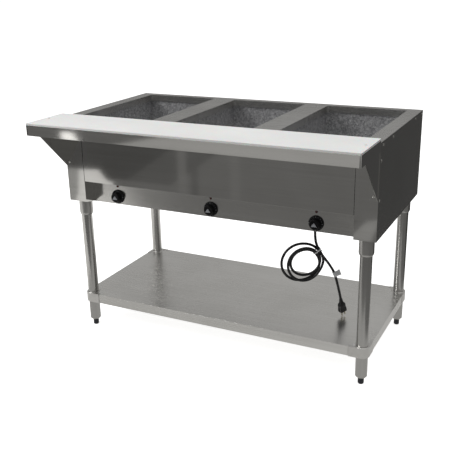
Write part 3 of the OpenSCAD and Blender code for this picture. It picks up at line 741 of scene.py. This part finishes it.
def stage_plane(name, corners, z, material, seen):
    """A flat stage sheet: seen by the camera and kept out of reflections, or the other way round."""
    mesh = bpy.data.meshes.new(name)
    mesh.from_pydata([(x, y, z) for x, y in corners], [], [list(range(len(corners)))])
    mesh.materials.append(material)
    made = bpy.data.objects.new(name, mesh)
    scene.collection.objects.link(made)
    made.visible_camera = seen
    made.visible_diffuse = not seen
    made.visible_shadow = seen
    made.visible_transmission = seen
    made.visible_glossy = not seen


def glow(name, tone):
    """A plain glowing material of that colour and strength."""
    made = bpy.data.materials.new(name)
    made.use_nodes = True
    tree = made.node_tree
    tree.nodes.clear()
    light = tree.nodes.new("ShaderNodeEmission")
    light.inputs["Color"].default_value = (*tone, 1)
    output = tree.nodes.new("ShaderNodeOutputMaterial")
    tree.links.new(light.outputs[0], output.inputs[0])
    return made


def floor_paint():
    made = Surface("floor_paint", Roughness=0.9, Emission_Strength=0.75)
    made.shader.inputs["Emission Color"].default_value = (1, 1, 1, 1)
    made.colour(made.shades(made.noise((1.5, 1.5, 1.5)), (0.3, (0.90, 0.90, 0.90)),
                            (0.7, (0.92, 0.92, 0.92))))
    return made.material


FAR = 14.0
WHOLE_FLOOR = [(-FAR, -FAR), (FAR, -FAR), (FAR, FAR), (-FAR, FAR)]
CARD_Z = -0.02
CARD_STEP = 0.001
# Painted reflections: flat glowing cards that light nothing, which the steel reflects in place of the
# floor, each a little above the one before, with its brightness and its corners on the floor; some of
# them paint shade and lit patches onto the steel
CARDS = [
    ("floor", 0.185, WHOLE_FLOOR),
    ("behind", 0.07, [(0.7, 0.6), (FAR, 0.6), (FAR, FAR), (0.7, FAR)]),
    # Painted shade: the board shelf's shadow on the upper left of the apron, darkest at the far left and
    # lighter further right
    ("board_shade_left", 0.10, [(-5.0, -3.36), (-1.95, -3.36), (-1.70, -2.16), (-5.0, -2.16)]),
    ("board_shade_fringe_left", 0.135, [(-1.95, -3.36), (-1.50, -3.36), (-1.35, -2.16), (-1.70, -2.16)]),
    ("far", 0.52, [(-2.45, -3.38), (0.3, -3.38), (0.3, -4.1), (-2.1, -4.1)]),
    # Painted light: its edge paints the lit patch on the lower left of the apron, below the board shelf's
    # shadow, with a diagonal right edge
    ("lit_patch_left", 0.95, [(0.75, 0.12), (-0.9, -1.15), (-1.33, -1.48), (-1.50, -1.76), (-1.76, -2.07),
                     (-1.82, -2.09), (-2.05, -2.31), (-2.30, -2.25), (-5.0, -2.25), (-5.0, 6.0),
                     (0.4, 6.0)]),
    # Painted highlight: a bright patch with a diagonal right edge on the left of the board shelf's front
    # face; this card lights nothing
    ("lamp", 2.1, [(-3.195, -3.706), (-3.05, -3.695), (-2.744, -3.396), (-2.962, -3.441)]),
    ("near", 0.50, [(-0.95, -0.75), (0.95, -0.75), (0.95, 0.75), (-0.95, 0.75)]),
    # Painted light: the lower part of the left front corner strip, lit below the board shelf's shadow
    ("lit_corner_left", 0.42, [(-1.62, -1.45), (-1.78, -1.45), (-2.42, -2.26), (-2.20, -2.27),
                           (-1.83, -1.78)]),
    # Painted shadow: the dark strip that the apron's overhang casts along the top of the control panel
    ("apron_shadow_on_panel", 0.13, [(-1.70, -1.775), (-0.60, -1.775), (-0.60, -1.90), (-1.76, -1.90)]),
    ("apron_shadow_on_panel_right", 0.13, [(-0.60, -1.79), (0.03, -1.79), (0.03, -1.91), (-0.60, -1.91)]),
    # Painted light: the lower part of the right front corner strip, lit below the board shelf's shadow
    ("lit_corner_right", 0.36, [(0.075, -1.60), (0.20, -1.60), (0.15, -1.98), (0.085, -1.92)]),
]
# Painted reflections of faint upright streaks on the apron: brightness, and the left and right edge on
# the apron
STREAK_REFLECTIONS = {"left": (0.215, -0.115, -0.080), "middle": (0.21, 0.090, 0.125),
           "dim": (0.14, -0.062, -0.035)}
STREAK_REACH = (0.80, 1.50)


def mirrored(x, times):
    """A floor point that the apron mirrors at x, at that many times the camera's distance from it."""
    return (x + (x - CAMERA_PLACE.x) * times, FRONT_Y + (CAMERA_PLACE.y - FRONT_Y) * times)


def reflected_cards():
    near, far = STREAK_REACH
    cards = list(CARDS)
    for name, (level, left, right) in STREAK_REFLECTIONS.items():
        corners = [(left, near), (right, near), (right, far), (left, far)]
        cards.append(("streak_" + name, level, [mirrored(x, times) for x, times in corners]))
    for i, (name, level, corners) in enumerate(cards):
        name = "card_" + name
        material = glow(name, (level, level * 0.99, level * 0.965))
        stage_plane(name, corners, CARD_Z + CARD_STEP * i, material, False)


stage_plane("floor", WHOLE_FLOOR, 0.0, floor_paint(), True)
reflected_cards()


def area_light(name, place, aim, size, power):
    data = bpy.data.lights.new(name, "AREA")
    data.shape = "RECTANGLE"
    data.size, data.size_y = size
    data.energy = power
    made = bpy.data.objects.new(name, data)
    scene.collection.objects.link(made)
    made.location = place
    made.rotation_mode = "QUATERNION"
    made.rotation_quaternion = (Vector(aim) - Vector(place)).to_track_quat("-Z", "Y")
    return made


area_light("key", (-2.1, -2.6, 2.9), (0, 0, 0.6), (1.3, 1.3), 48)
area_light("top_fill", (0.3, 0.2, 3.4), (0, 0, 0.5), (2.6, 2.6), 22)


def surroundings():
    """White behind the object, and a dim room, paler higher up, for the steel to reflect."""
    world = bpy.data.worlds.new("studio")
    scene.world = world
    world.use_nodes = True
    tree = world.node_tree
    tree.nodes.clear()
    new, link = tree.nodes.new, tree.links.new
    place = new("ShaderNodeTexCoord").outputs["Generated"]
    split = new("ShaderNodeSeparateXYZ")
    link(place, split.inputs[0])
    ramp = new("ShaderNodeValToRGB")
    stops = [(0.0, 0.16), (0.10, 0.16), (0.30, 0.34), (0.60, 0.55), (1.0, 0.80)]
    line = ramp.color_ramp.elements
    while len(line) < len(stops):
        line.new(0.5)
    for element, (at, level) in zip(line, stops):
        element.position = at
        element.color = (level, level * 0.995, level * 0.98, 1)
    link(split.outputs["Z"], ramp.inputs["Fac"])
    room, white = new("ShaderNodeBackground"), new("ShaderNodeBackground")
    link(ramp.outputs["Color"], room.inputs["Color"])
    room.inputs["Strength"].default_value = 1.0
    white.inputs["Color"].default_value = (1, 1, 1, 1)
    white.inputs["Strength"].default_value = 1.05
    rays = new("ShaderNodeLightPath")
    mix = new("ShaderNodeMixShader")
    link(rays.outputs["Is Camera Ray"], mix.inputs[0])
    link(room.outputs[0], mix.inputs[1])
    link(white.outputs[0], mix.inputs[2])
    output = new("ShaderNodeOutputWorld")
    link(mix.outputs[0], output.inputs[0])


surroundings()
scene.view_settings.view_transform = "Standard"
scene.view_settings.look = "None"
